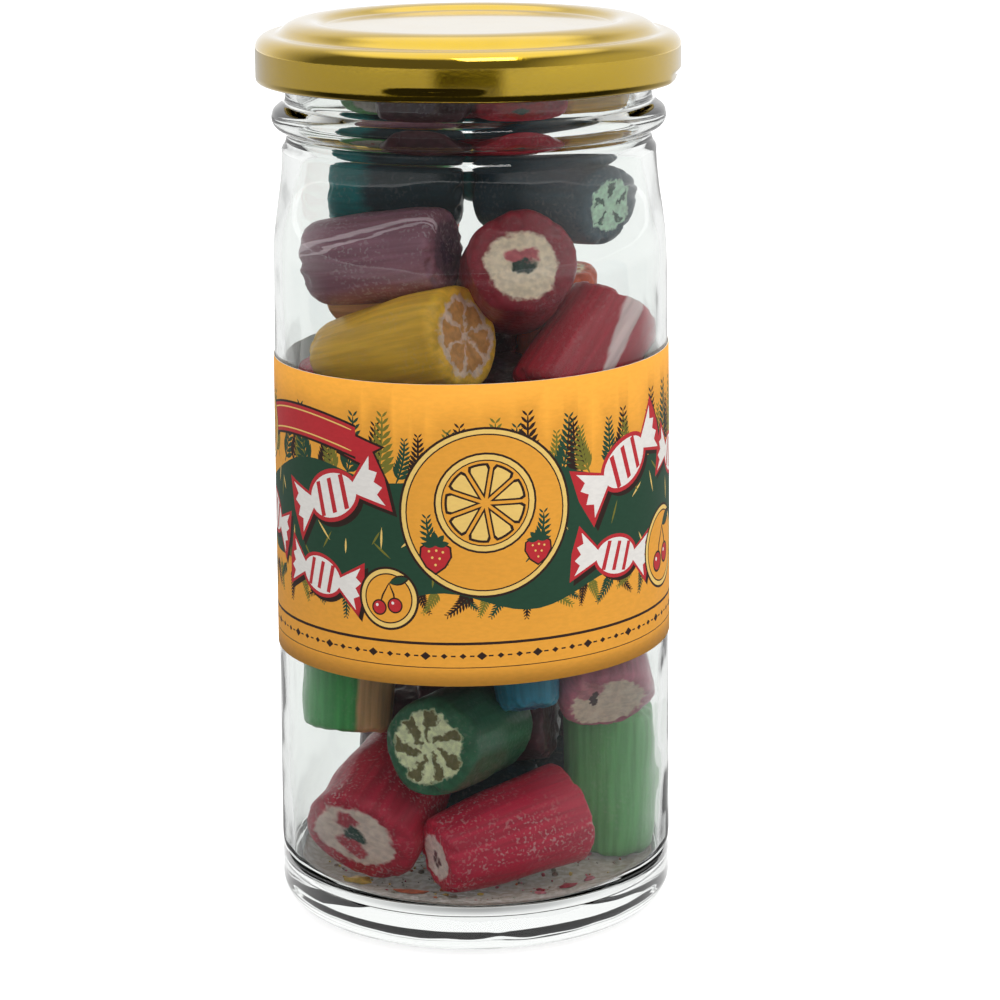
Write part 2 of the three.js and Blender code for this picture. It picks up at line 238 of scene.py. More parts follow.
class Nodes:
    """Short calls for the nodes of one tree."""

    def __init__(self, tree):
        self.tree = tree

    def feed(self, socket, value):
        if isinstance(value, bpy.types.NodeSocket):
            self.tree.links.new(value, socket)
        else:
            socket.default_value = value

    def node(self, kind, inputs, **settings):
        node = self.tree.nodes.new(kind)
        for key, value in settings.items():
            setattr(node, key, value)
        for key, value in inputs.items():
            self.feed(node.inputs[key], value)
        return node

    def add(self, kind, inputs, output=0, **settings):
        return self.node(kind, inputs, **settings).outputs[output]

    def parts(self, vector):
        """The x, y and z of a vector."""
        return self.node("ShaderNodeSeparateXYZ", {0: vector}).outputs

    def place(self, space="Object"):
        """Where the point is on the object, in metres, or in another space."""
        return self.add("ShaderNodeTexCoord", {}, output=space)

    def math(self, operation, a, b=0.0):
        return self.add("ShaderNodeMath", {0: a, 1: b}, operation=operation)

    def scaled(self, value, factor):
        return self.math("MULTIPLY", value, factor)

    def total(self, first, *others):
        for other in others:
            first = self.math("ADD", first, other)
        return first

    def span(self, x, y):
        """How far (x, y) is from the middle."""
        return self.math("SQRT", self.total(self.scaled(x, x), self.scaled(y, y)))

    def vector(self, operation, a, b, output=0):
        return self.add("ShaderNodeVectorMath", {0: a, 1: b}, output=output, operation=operation)

    def stretched(self, where, x, y, z):
        return self.vector("MULTIPLY", where, (x, y, z))

    def tone(self, colour, amount):
        """The colour or vector, scaled."""
        if not isinstance(colour, bpy.types.NodeSocket):
            colour = colour[:3]
        return self.add("ShaderNodeVectorMath", {0: colour, "Scale": amount}, operation="SCALE")

    def mix(self, share, first, second):
        return self.add("ShaderNodeMix", {0: share, 6: first, 7: second}, output=2, data_type="RGBA")

    def ramp(self, value, low, high, start=0.0, end=1.0, kind="SMOOTHSTEP"):
        """Goes from start at low to end at high, smoothly unless kind says so, and stays there."""
        inputs = {"Value": value, "From Min": low, "From Max": high, "To Min": start, "To Max": end}
        return self.add("ShaderNodeMapRange", inputs, interpolation_type=kind)

    def noise(self, where, scale, detail=2.0, output=0):
        inputs = {"Vector": where, "Scale": scale, "Detail": detail}
        return self.add("ShaderNodeTexNoise", inputs, output=output)


class Shader(Nodes):
    """The nodes of one material with a Principled surface."""

    def __init__(self, name, **values):
        self.material = bpy.data.materials.new(name)
        self.material.use_nodes = True
        super().__init__(self.material.node_tree)
        self.surface = self.tree.nodes["Principled BSDF"]
        for key, value in values.items():
            self.set(key.replace("_", " ").title().replace("Ior", "IOR"), value)

    def set(self, socket, value):
        """Sets or links one of the surface's sockets."""
        self.feed(self.surface.inputs[socket], value)

    def bump(self, height, strength, distance):
        """distance is in metres."""
        inputs = {"Height": height, "Strength": strength, "Distance": distance}
        self.set("Normal", self.add("ShaderNodeBump", inputs))


# ---- the jar ----


def body_radius(z):
    """Outer radius of the straight body, which widens a little towards the base."""
    share = (z - JAR.heel_radius) / (JAR.shoulder_start - JAR.heel_radius)
    return JAR.body_low + (JAR.body_high - JAR.body_low) * share


def shoulder_share(z):
    """0 where the shoulder starts and 1 where it ends, eased at both."""
    span = JAR.shoulder_end - JAR.shoulder_start
    return (1 - math.cos(math.pi * (z - JAR.shoulder_start) / span)) / 2


def inner_radius(z):
    if z < JAR.shoulder_start:
        return body_radius(max(z, JAR.heel_radius)) - JAR.wall
    if z < JAR.shoulder_end:
        start = JAR.body_high - JAR.wall
        return start + (JAR.mouth - start) * shoulder_share(z)
    return JAR.mouth


def floor_edge():
    """The radius where the flat floor ends, and the height where the curve up from it ends."""
    top = JAR.floor + JAR.inner_heel
    return inner_radius(top) - JAR.inner_heel, top


def wall(radius_at, low, high, steps):
    """The wall's profile from low to high."""
    return [(radius_at(z), z) for z in np.linspace(low, high, steps + 1)]


def glass_material():
    glass = Shader(
        "clear_glass", base_color=(0.965, 0.988, 0.972, 1.0), roughness=0.0, ior=1.5,
        transmission_weight=1.0,
    )
    waves = glass.noise(glass.place(), 90.0, detail=1.0)
    glass.bump(waves, 0.35, 0.0006)
    return glass.material


def make_jar():
    start, end, lip = JAR.shoulder_start, JAR.shoulder_end, JAR.lip
    drop = JAR.shoulder_top - JAR.body_high
    heel = JAR.heel_radius
    heel_r, heel_top = floor_edge()
    base = rounded(
        [(0, JAR.push_up), (JAR.push_up_radius, JAR.push_up - 0.4), (JAR.ring_inner, 0.02),
         (JAR.body_low - heel, 0.0)], most=1.2)
    neck = rounded(
        [(JAR.shoulder_top, end), (JAR.neck, end + 0.9), *BEAD, (JAR.neck, 122.0),
         (JAR.neck, JAR.rim - lip), (JAR.neck - lip, JAR.rim), (JAR.mouth + lip, JAR.rim),
         (JAR.mouth, JAR.rim - lip), (JAR.mouth, end + 1.0)])
    profile = [
        *base[:-1],
        *arc(JAR.body_low - heel, heel, heel, -90, 0, 16),
        *wall(body_radius, heel, start, 11)[1:-1],
        *wall(lambda z: JAR.body_high + drop * shoulder_share(z), start, end, 28)[:-1],
        *neck,
        *wall(inner_radius, start, end, 28)[::-1],
        *wall(inner_radius, start, heel_top, 11)[1:-1],
        *arc(heel_r, heel_top, JAR.inner_heel, 0, -90, 16),
        (heel_r / 2, JAR.floor + 0.75 * JAR.floor_dome),
        (0, JAR.floor + JAR.floor_dome),
    ]
    points, faces = lathe(profile, JAR.sides)
    dress(make_mesh("glass_jar", points, faces, [glass_material()]), "glass", "jar_glass")


# ---- the lid ----


def lid_material():
    gold = Shader(
        "gold_lacquer", metallic=1.0, roughness=0.12, coat_weight=1.0, coat_roughness=0.05, coat_ior=1.5,
    )
    where = gold.place()
    clouds = gold.noise(where, 160.0, detail=3.0)
    grain = gold.noise(where, 2400.0)
    gold.set("Base Color", gold.mix(clouds, srgb(192, 158, 22), srgb(206, 172, 36)))
    gold.set("Roughness", gold.ramp(clouds, 0.3, 0.7, 0.1, 0.15))
    gold.bump(grain, 0.06, 0.0001)
    return gold.material


def lug_radius(radius, height, turn):
    """The curled edge is pressed in at each lug."""
    step = TAU / LID.lugs
    off = turn - LID.lug_turn
    off = abs(off - step * round(off / step)) / LID.lug_half
    top = LID.bottom + LID.lug_height
    if off >= 1 or radius < LID.curl_inner - 1 or height > top:
        return radius
    share = min(1.0, (top - height) / LID.lug_fade)
    return radius - LID.lug_depth * share * (0.5 + 0.5 * math.cos(math.pi * off)) ** 0.5


def make_lid():
    sheet, ledge, bottom = LID.sheet, LID.ledge, LID.bottom
    bend_r, bend_z = LID.radius - LID.shoulder_radius, ledge - LID.shoulder_radius
    curl_r, curl_half = (LID.radius + LID.curl_inner) / 2, (LID.radius - LID.curl_inner) / 2
    panel = [(0, LID.panel_top), (LID.panel_radius, LID.panel_top), *RING]
    below = rounded([(r, z - sheet) for r, z in panel] + [(bend_r - 0.4, ledge - sheet)])
    above = rounded([*panel, (27.4, ledge), (bend_r - 0.2, ledge)])
    profile = [
        *below,
        *arc(bend_r, bend_z, LID.shoulder_radius - sheet, 90, 0, 6),
        (LID.radius - sheet, bottom + 2 * curl_half + 0.4),
        *arc(curl_r, bottom + curl_half, curl_half, 110, 345, 18),
        *wall(lambda z: LID.radius, bottom + 1.0, bottom + LID.lug_height + 0.3, 6),
        *arc(bend_r, bend_z, LID.shoulder_radius, 0, 90, 14),
        *above[::-1],
    ]
    points, faces = lathe(profile, LID.sides, lug_radius)
    dress(make_mesh("gold_lid", points, faces, [lid_material()]), "lid", "lid")


# ---- the label ----

# The print is a flat drawing of ovals, leaves, strokes and panels, in label places: millimetres
# right of the middle of the front, and up from the lower edge. Later shapes cover earlier ones.

INKS = {
    "amber": srgb(251, 174, 60), "green": srgb(44, 80, 60), "olive": srgb(128, 124, 48),
    "dark": srgb(58, 42, 36), "red": srgb(204, 46, 54), "white": srgb(250, 246, 240),
    "gold": srgb(255, 214, 120),
}


def turned(points, turn, centre=(0.0, 0.0), size=1.0):
    c, s = math.cos(turn) * size, math.sin(turn) * size
    return [(centre[0] + x * c - y * s, centre[1] + x * s + y * c) for x, y in points]


def oval(centre, rx, ry=None, turn=0.0, steps=36):
    ry = rx if ry is None else ry
    angles = [TAU * i / steps for i in range(steps)]
    return turned([(rx * math.cos(a), ry * math.sin(a)) for a in angles], turn, centre)


def leaf(root, length, width, heading, steps=6):
    """A pointed leaf from its root."""
    upper = []
    for i in range(steps + 1):
        upper.append((length * i / steps, width / 2 * math.sin(math.pi * i / steps) ** 0.8))
    lower = [(x, -y) for x, y in upper[-2:0:-1]]
    return turned(upper + lower, heading, root)


def stroke(line, width):
    """A band of even width along an open line, narrowing to half at its ends."""
    left, right = [], []
    last = len(line) - 1
    for i, (x, y) in enumerate(line):
        x0, y0 = line[max(0, i - 1)]
        x1, y1 = line[min(last, i + 1)]
        length = math.hypot(x1 - x0, y1 - y0)
        half = width / 2 * (0.5 if i in (0, last) else 1.0)
        nx, ny = -(y1 - y0) / length * half, (x1 - x0) / length * half
        left.append((x + nx, y + ny))
        right.append((x - nx, y - ny))
    return left + right[::-1]


def bar(s0, s1, t, width):
    return [(s0, t - width / 2), (s1, t - width / 2), (s1, t + width / 2), (s0, t + width / 2)]


# Each of the drawings below yields its shapes as (ink, outline).


def frond(root, heading, length, ink, curl, steps=9):
    """A fern's frond: a bent stem with leaflets on both sides, smaller towards its tip."""
    line = [root]
    for i in range(steps):
        heading += curl / steps
        x, y = line[-1]
        line.append((x + length / steps * math.cos(heading), y + length / steps * math.sin(heading)))
        size = length * 0.34 * (1 - 0.7 * i / steps)
        for side in (-1, 1):
            yield ink, leaf(line[-1], size, size * 0.3, heading + side * 0.75, steps=3)
    yield ink, stroke(line, 0.3)


def roundel(centre, radius):
    """An amber disc in a dark double ring."""
    for ink, inset in (("dark", 0.0), ("gold", 0.35), ("dark", 0.95), ("amber", 1.15)):
        yield ink, oval(centre, radius - inset, steps=64)


def wedge(centre, start, end, heading, half):
    """The outline of a segment of a disc, with its outer corners cut."""
    flat = [(start, 0.0)]
    for a in (-1, -0.8, -0.4, 0, 0.4, 0.8, 1):
        far = end * (0.9 if abs(a) == 1 else 1.0)
        flat.append((far * math.cos(half * a), far * math.sin(half * a)))
    return turned(flat, heading, centre)


def citrus(centre, radius, count, turn):
    """A cut citrus fruit drawn with lines."""
    pith = radius * 0.86
    for ink, r in (("dark", radius), ("gold", radius - 0.3), ("dark", pith), ("amber", pith - 0.18)):
        yield ink, oval(centre, r)
    for i in range(count):
        for ink, start, end, skin in (("dark", 0.09, 0.79, 0.04), ("gold", 0.19, 0.74, 0.1)):
            half = math.pi / count - skin
            yield ink, wedge(centre, radius * start, radius * end, turn + TAU * i / count, half)


def cherries(centre, size):
    """Two cherries on their stalks, under a leaf."""
    top = (centre[0] + 0.4 * size, centre[1] + 2.4 * size)
    for dx, dy in ((-1.0, -0.9), (1.2, -0.5)):
        place = (centre[0] + dx * size, centre[1] + dy * size)
        bend = ((place[0] + top[0]) / 2 + dx * 0.2 * size, (place[1] + top[1]) / 2)
        yield "dark", stroke([place, bend, top], 0.26 * size)
        yield "dark", oval(place, 1.05 * size)
        yield "red", oval(place, 0.85 * size)
        yield "white", oval((place[0] - 0.3 * size, place[1] + 0.3 * size), 0.2 * size, steps=12)
    yield "dark", leaf(top, 3.0 * size, 1.3 * size, 0.3)
    yield "green", leaf(top, 2.7 * size, 0.9 * size, 0.3)


def berry(centre, size):
    """A strawberry with its seeds and leaves."""
    x, y = centre
    body = [(0, -2.2), (1.1, -1.4), (1.8, -0.2), (1.7, 0.9), (0.9, 1.4), (-0.9, 1.4), (-1.7, 0.9),
            (-1.8, -0.2), (-1.1, -1.4)]
    yield "dark", turned(body, 0, centre, size * 1.13)
    yield "red", turned(body, 0, centre, size)
    for dx, dy in ((-0.8, 0.5), (0.1, 0.6), (0.9, 0.4), (-0.4, -0.3), (0.5, -0.4), (0.0, -1.2)):
        yield "gold", oval((x + dx * size, y + dy * size), 0.16 * size, steps=8)
    for i in range(5):
        heading = 0.2 + 0.45 * i * math.pi / 2
        yield "green", leaf((x, y + 1.2 * size), 1.7 * size, 0.8 * size, heading)


def sweet(centre, turn, size):
    """A wrapped sweet, white with red stripes and a red outline, and its dark shadow."""
    fan = [(2.6, 0.2), (6.0, 2.6), (5.5, 1.3), (6.3, 0.8), (5.6, 0.0), (6.3, -0.8), (5.5, -1.3),
           (6.0, -2.6), (2.6, -0.2)]
    wide = [(2.3, 0.3), (6.5, 3.4), (6.9, 0.0), (6.5, -3.4), (2.3, -0.3)]
    shadow = (centre[0] + 0.5 * size, centre[1] - 0.5 * size)
    for ink, place, grow, wing in (
            ("dark", shadow, 0.4, wide), ("red", centre, 0.45, wide), ("white", centre, 0.0, fan)):
        for side in (1, -1):
            yield ink, turned([(side * x, y) for x, y in wing], turn, place, size)
        yield ink, oval(place, (3.3 + grow) * size, (2.2 + grow) * size, turn)
    for x in (-1.7, 0.0, 1.7):
        band = [(x - 0.5, -1.75), (x + 0.1, -1.75), (x + 0.5, 1.75), (x - 0.1, 1.75)]
        yield "red", turned(band, turn, centre, size)


def ribbon(centre, half, rise, height):
    """A red ribbon on an arc, with swallow tails and a gold line along both edges."""
    tails = (("dark", [(-3.5, -2.0), (4.5, -2.4), (2.6, -0.2), (4.8, 2.0), (-3.5, 2.2)]),
             ("red", [(-3.5, -1.6), (3.9, -2.0), (2.0, -0.2), (4.1, 1.6), (-3.5, 1.8)]))
    steps = [half * (i / 8 - 1) for i in range(17)]

    def at(s, t):
        return (centre[0] + s, centre[1] + t + rise * (1 - (s / half) ** 2))

    for side in (-1, 1):
        for ink, tail in tails:
            yield ink, [at(side * (half + s), t - 0.9 + height * 0.05) for s, t in tail]
    for ink, reach in (("dark", height / 2 + 0.35), ("red", height / 2)):
        yield ink, [at(s, -reach) for s in steps] + [at(s, reach) for s in steps[::-1]]
    for t in (height / 2 - 0.6, 0.6 - height / 2):
        yield "gold", stroke([at(s * 0.94, t) for s in steps], 0.2)


def field(start, end, middle, half, phase, count=48):
    """A green field with wavy edges."""
    low, high = [], []
    for i in range(count + 1):
        s = start + (end - start) * i / count
        ease = math.sin(math.pi * i / count) ** 0.35
        high.append((s, middle + ease * (half + 1.8 * math.sin(s / 5.2 + phase))))
        low.append((s, middle - ease * (half + 1.5 * math.sin(s / 4.1 - phase))))
    yield "green", low + high[::-1]


def foliage(start, end, middle, half, rng, gap=2.6):
    """Fronds that lean out of a field's upper and lower edge."""
    for i in range(int((end - start) / gap)):
        s = start + 2 + i * gap + rng.uniform(-0.8, 0.8)
        ink = ("olive", "green", "dark")[i % 3]
        for side, lengths in ((1, (6, 9.5)), (-1, (3.5, 5))):
            lean = rng.uniform(-0.6, 0.6)
            root, heading = (s, middle + side * (half - 2.0)), side * math.pi / 2 + lean
            yield from frond(root, heading, rng.uniform(*lengths), ink, -side * lean)


def veins(start, end, middle, half, rng, gap=1.5):
    """Fine olive and gold blades of grass over a field."""
    for i in range(int((end - start) / gap)):
        root = (start + 3 + i * gap, middle + rng.uniform(-half + 2, half - 4))
        blade = leaf(root, rng.uniform(2, 4), 0.34, rng.uniform(0.6, 2.5), steps=4)
        yield "olive" if i % 2 else "gold", blade


def ornament_row(start, end, t, gap=2.6):
    """Small lozenges and dashes between two rules."""
    yield "dark", bar(start, end, t + 2.0, 0.4)
    yield "dark", bar(start, end, t - 1.5, 0.13)
    count = int((end - start) / gap)
    for i in range(count):
        s = start + (i + 0.5) * (end - start) / count
        size = 0.5 if i % 3 else 0.75
        lozenge = [(-size, 0), (0, -size * 0.8), (size, 0), (0, size * 0.8)]
        yield "dark", turned(lozenge, 0, (s, t + 0.2))
        yield "dark", bar(s + 0.95, s + 1.6, t + 0.2, 0.22)


def panel(centre, width, height):
    """A framed panel with plain rules and a sprig of cherries."""
    s, t = centre
    for ink, inset in (("dark", 0.0), ("gold", 0.35), ("dark", 0.9), ("amber", 1.05)):
        reach = width / 2 - inset
        yield ink, bar(s - reach, s + reach, t, height - 2 * inset)
    for i in range(4):
        yield "dark", bar(s - width * 0.36, s + width * 0.36, t - height * 0.36 + 2.0 * i, 0.16)
    yield from cherries((s, t + height * 0.14), 1.9)


def label_print():
    """The whole print."""
    rng = random.Random(11)
    edge, back_start = 79.0, 50.5
    front = (-46.0, 46.0, 21.5, 9.5)
    sweets = [
        ((-40.5, 20.5), -0.30, 1.2), ((-21.5, 26.2), 0.36, 1.42), ((-24.0, 14.2), -0.14, 1.2),
        ((24.6, 29.4), 0.44, 1.42), ((41.5, 27.0), -0.30, 1.2), ((22.6, 16.2), -0.2, 1.2)]
    for drawing in (
            ornament_row(-edge, edge, 4.2), foliage(*front, rng), field(*front, 0.6),
            veins(*front, rng), ribbon((-28.5, 34.4), 11.5, 1.6, 4.2),
            roundel((2.0, 25.0), 12.2), frond((-3.2, 17.6), 2.5, 7.5, "green", -0.9),
            frond((7.6, 17.6), 0.7, 7.5, "green", 0.9), citrus((2.0, 26.4), 7.2, 9, 0.35),
            berry((-5.0, 19.0), 1.15), berry((9.4, 19.4), 1.0), *[sweet(*row) for row in sweets],
            roundel((35.5, 14.6), 6.2), cherries((35.1, 14.0), 1.5),
            roundel((-43.0, 33.0), 5.2), citrus((-43.0, 33.0), 3.2, 7, 0.1),
            roundel((-12.0, 12.4), 4.6), cherries((-12.3, 12.0), 1.1)):
        yield from drawing
    for side in (-1, 1):
        yield from panel((side * (back_start + edge) / 2, 23.5), edge - back_start - 4, 28.0)


def inside(points, outline):
    """Which of the points lie inside a closed outline."""
    a = np.asarray(outline)
    b = np.roll(a, -1, axis=0)
    x, y = points[:, :1], points[:, 1:]
    crosses = (a[:, 1] > y) != (b[:, 1] > y)
    rise = np.where(b[:, 1] == a[:, 1], 1.0, b[:, 1] - a[:, 1])
    left = x < (b[:, 0] - a[:, 0]) * (y - a[:, 1]) / rise + a[:, 0]
    return (crosses & left).sum(axis=1) % 2 == 1


def drawn_sheet(half, height):
    """The label's flat triangles, split along every printed edge and into columns, and their inks."""
    shapes = list(label_print())
    lines = [bar(-half, half, height / 2, height)] + [line for _, line in shapes]
    points = [Vector(p) for line in lines for p in line]
    edges, first = [], 0
    for line in lines:
        count = len(line)
        edges += [(first + i, first + (i + 1) % count) for i in range(count)]
        first += count
    columns = int(2 * half / LABEL.column)
    for i in range(1, columns):
        s = half * (2 * i / columns - 1)
        edges.append((len(points), len(points) + 1))
        points += [Vector((s, 0.0)), Vector((s, height))]
    flat, _, faces, *_ = geometry.delaunay_2d_cdt(points, edges, [], 0, 1e-4)
    flat = np.array([tuple(p) for p in flat])
    faces = np.array(faces)
    middles = flat[faces].mean(axis=1)
    kept = (np.abs(middles[:, 0]) < half) & (middles[:, 1] > 0) & (middles[:, 1] < height)
    faces, middles = faces[kept], middles[kept]
    names = list(INKS)
    inks = np.zeros(len(faces), int)
    for ink, line in shapes:
        low, high = np.min(line, axis=0), np.max(line, axis=0)
        near = np.nonzero(((middles >= low) & (middles <= high)).all(axis=1))[0]
        inks[near[inside(middles[near], line)]] = names.index(ink)
    return flat, faces, inks


def label_middle():
    """The jar's radius at the middle of the label."""
    return body_radius((LABEL.low + LABEL.high) / 2)


def on_label(s, t, lift):
    """The point on the label's sheet at a printed place, that far from the glass."""
    z = LABEL.low + t
    radius = body_radius(z) + lift
    turn = s / label_middle()
    return (radius * math.sin(turn), -radius * math.cos(turn), z + LABEL.askew * radius * turn)


def paper_material(name, colour):
    paper = Shader(name, roughness=0.6, specular_ior_level=0.2)
    where = paper.place()
    fibres = paper.noise(paper.stretched(where, 1, 1, 2.5), 900.0, detail=3.0)
    clouds = paper.noise(where, 45.0)
    paper.set("Base Color", paper.tone(colour, paper.scaled(
        paper.ramp(fibres, 0.3, 0.7, 0.965, 1.03), paper.ramp(clouds, 0.3, 0.7, 0.97, 1.02))))
    paper.bump(fibres, 0.25, 0.00006)
    return paper.material


def make_label():
    half = LABEL.wrap / 2 * label_middle()
    flat, faces, inks = drawn_sheet(half, LABEL.high - LABEL.low)
    lifts = (LABEL.lift + LABEL.thickness, LABEL.lift)
    points = [on_label(s, t, lift) for lift in lifts for s, t in flat]
    front = [tuple(int(i) for i in face) for face in faces]
    edges = dict.fromkeys((face[i], face[(i + 1) % 3]) for face in front for i in range(3))
    count = len(flat)
    rim = [(b, a, a + count, b + count) for a, b in edges if (b, a) not in edges]
    back = [tuple(i + count for i in face[::-1]) for face in front]
    materials = [paper_material("print_" + name, colour) for name, colour in INKS.items()]
    materials.append(paper_material("paper_back", srgb(236, 232, 222)))
    picks = list(inks) + [len(INKS)] * (len(back) + len(rim))
    label = make_mesh("paper_label", points, front + back + rim, materials, picks=picks)
    dress(label, "label", "label")


# ---- candies: their places ----


def axis_of(heading, lift):
    h, l = math.radians(heading), math.radians(lift)
    return Vector((math.sin(h) * math.cos(l), -math.cos(h) * math.cos(l), math.sin(l)))


def read_candy(row, held):
    x, y, z, heading, lift, length, radius, flavour, *extra = row
    spin, taper = (*extra, 0, 0)[:2]
    return SimpleNamespace(
        centre=Vector((x, y, z)), axis=axis_of(heading, lift), length=length, radius=radius,
        reach=length / 2 - CANDY.inset * radius, held=held, flavour=flavour,
        spin=math.radians(spin), taper=taper,
    )


def clamped(value, most):
    return max(-most, min(most, value))


def between(a, b):
    """From b to a, between the nearest points of the two candies' middle lines."""
    apart = a.centre - b.centre
    dot = a.axis.dot(b.axis)
    along_a, along_b = a.axis.dot(apart), b.axis.dot(apart)
    spread = 1 - dot * dot
    first = 0.0 if spread < 1e-9 else (dot * along_b - along_a) / spread
    t = clamped(dot * clamped(first, a.reach) + along_b, b.reach)
    s = clamped(dot * t - along_a, a.reach)
    return apart + a.axis * s - b.axis * t


def keep_inside(candy):
    """Moves a candy in from the glass, the floor and the lid at both its ends."""
    centre = candy.centre
    for side in (-1, 1):
        end = centre + candy.axis * side * candy.reach
        most = inner_radius(end.z) - candy.radius - CANDY.wall_gap
        out = math.hypot(end.x, end.y)
        if out > most:
            centre.x -= end.x / out * (out - most)
            centre.y -= end.y / out * (out - most)
        centre.z += max(0.0, JAR.floor + JAR.floor_dome + candy.radius - end.z)
        centre.z -= max(0.0, end.z - CANDY.top + candy.radius)


def settle(candies):
    """Pushes the loose candies apart. The held ones stay where they are."""
    for _ in range(CANDY.rounds):
        for candy in candies:
            candy.push = Vector((0, 0, 0))
        for a, b in combinations(candies, 2):
            if (a.held and b.held) or (a.centre - b.centre).length > a.length + b.length:
                continue
            gap = between(a, b)
            overlap = a.radius + b.radius - gap.length
            if overlap > 0:
                gap = gap.normalized() * overlap * (0.5 if a.held or b.held else 0.25)
                a.push += gap
                b.push -= gap
        for candy in candies:
            if not candy.held:
                candy.centre += candy.push
                keep_inside(candy)


# ---- candies: their form ----

FORM = SimpleNamespace(
    sides=72, side_rings=22, edge=1.3, wobble=0.45, streak=0.07, chip=0.45, face=0.2, ridge=0.012)


def candy_profile(length, radius, edge):
    """The candy's own profile as (share of radius, height along the axis, how much of a cut face)."""
    half = length / 2
    end = [(share * (radius - edge) / radius, half, 1.0) for share in np.linspace(0.0, 1.0, 9)]
    for a in np.radians(np.linspace(90, 0, 6))[1:]:
        share = 1 - (edge - edge * math.cos(a)) / radius
        end.append((share, half - edge + edge * math.sin(a), math.sin(a)))
    side = [(1.0, h, 0.0) for h in np.linspace(half - edge, edge - half, FORM.side_rings)[1:-1]]
    return end + side + [(share, -h, cut) for share, h, cut in end[::-1]]


def candy_points(candy, rng):
    """Points of one candy, and their places in the rope: x and y across, 1 at the rind, and z along."""
    radius, half = candy.radius, candy.length / 2
    w = candy.axis
    front = Vector((0, -1, 0))
    u = front - w * w.dot(front) if abs(w.z) > 0.9 else w.cross(Vector((0, 0, 1)))
    u.normalize()
    v = w.cross(u)
    spin = Matrix.Rotation(-candy.spin, 2)
    seed = Vector([rng.uniform(-50, 50) for _ in range(3)])
    squash, squash_turn = rng.uniform(0.01, 0.035), rng.uniform(0, TAU)
    pinch, taper = rng.uniform(0.02, 0.08), candy.taper + rng.uniform(-0.02, 0.02)
    ridges, ridge_turn = rng.randint(4, 7), rng.uniform(0, TAU)
    tilts = [(rng.uniform(-0.1, 0.1), rng.uniform(-0.1, 0.1)) for _ in range(2)]
    points, places = [], []
    for share, h, cut in candy_profile(candy.length, radius, FORM.edge):
        along = h / half
        tilt = tilts[0] if h > 0 else tilts[1]
        for i in range(FORM.sides if share > 0 else 1):
            a = TAU * i / FORM.sides
            x, y = share * math.cos(a), share * math.sin(a)
            bulge = squash * math.cos(2 * (a - squash_turn)) - pinch * along ** 2 + taper * along
            r = radius * (1 + bulge)
            r += radius * FORM.ridge * math.cos(ridges * a - ridge_turn)
            where = Vector((x * 1.2, y * 1.2, along * 1.4)) + seed
            r += FORM.wobble * noise.noise(where) * share
            r += FORM.streak * noise.noise(Vector((x * 9, y * 9, along * 0.6)) + seed) * (1 - cut)
            chipped = max(0.0, noise.noise(where * 3.1) - 0.1) * FORM.chip * 4 * cut * share ** 4
            r -= chipped
            lift = (tilt[0] * x + tilt[1] * y) * radius * max(0.0, cut)
            lift += FORM.face * noise.noise(Vector((x * 6, y * 6, along)) + seed) * cut
            lift -= math.copysign(chipped, h)
            point = candy.centre + u * (r * x) + v * (r * y) + w * (h + lift)
            points.append(inside_glass(point))
            places.append((*(spin @ Vector((x, y))), along))
    return points, places, seed.x


def inside_glass(point):
    """Keeps a point of a candy off the glass, the jar's floor and the lid."""
    clearance = 0.15
    low = JAR.floor + JAR.floor_dome + clearance
    heel_top = JAR.floor + JAR.inner_heel
    most = inner_radius(point.z) - clearance
    if point.z < heel_top:
        drop = min(JAR.inner_heel, heel_top - point.z)
        most -= JAR.inner_heel - math.sqrt(JAR.inner_heel ** 2 - drop ** 2)
    out = math.hypot(point.x, point.y)
    scale = min(1.0, most / out) if out > 0 else 1.0
    return (point.x * scale, point.y * scale, min(max(point.z, low), CANDY.top))


def candy_faces(first, count):
    """Faces of a candy whose points start at `first`: one point, rings of points, one point."""
    sides = FORM.sides
    steps = [(i, (i + 1) % sides) for i in range(sides)]
    ring, last, end = first + 1, first + count - 1 - sides, first + count - 1
    faces = [(first, ring + i, ring + j) for i, j in steps]
    for a in range(ring, last, sides):
        faces += [(a + i, a + sides + i, a + sides + j, a + j) for i, j in steps]
    return faces + [(last + i, end, last + j) for i, j in steps]


# ---- candies: their flavours ----

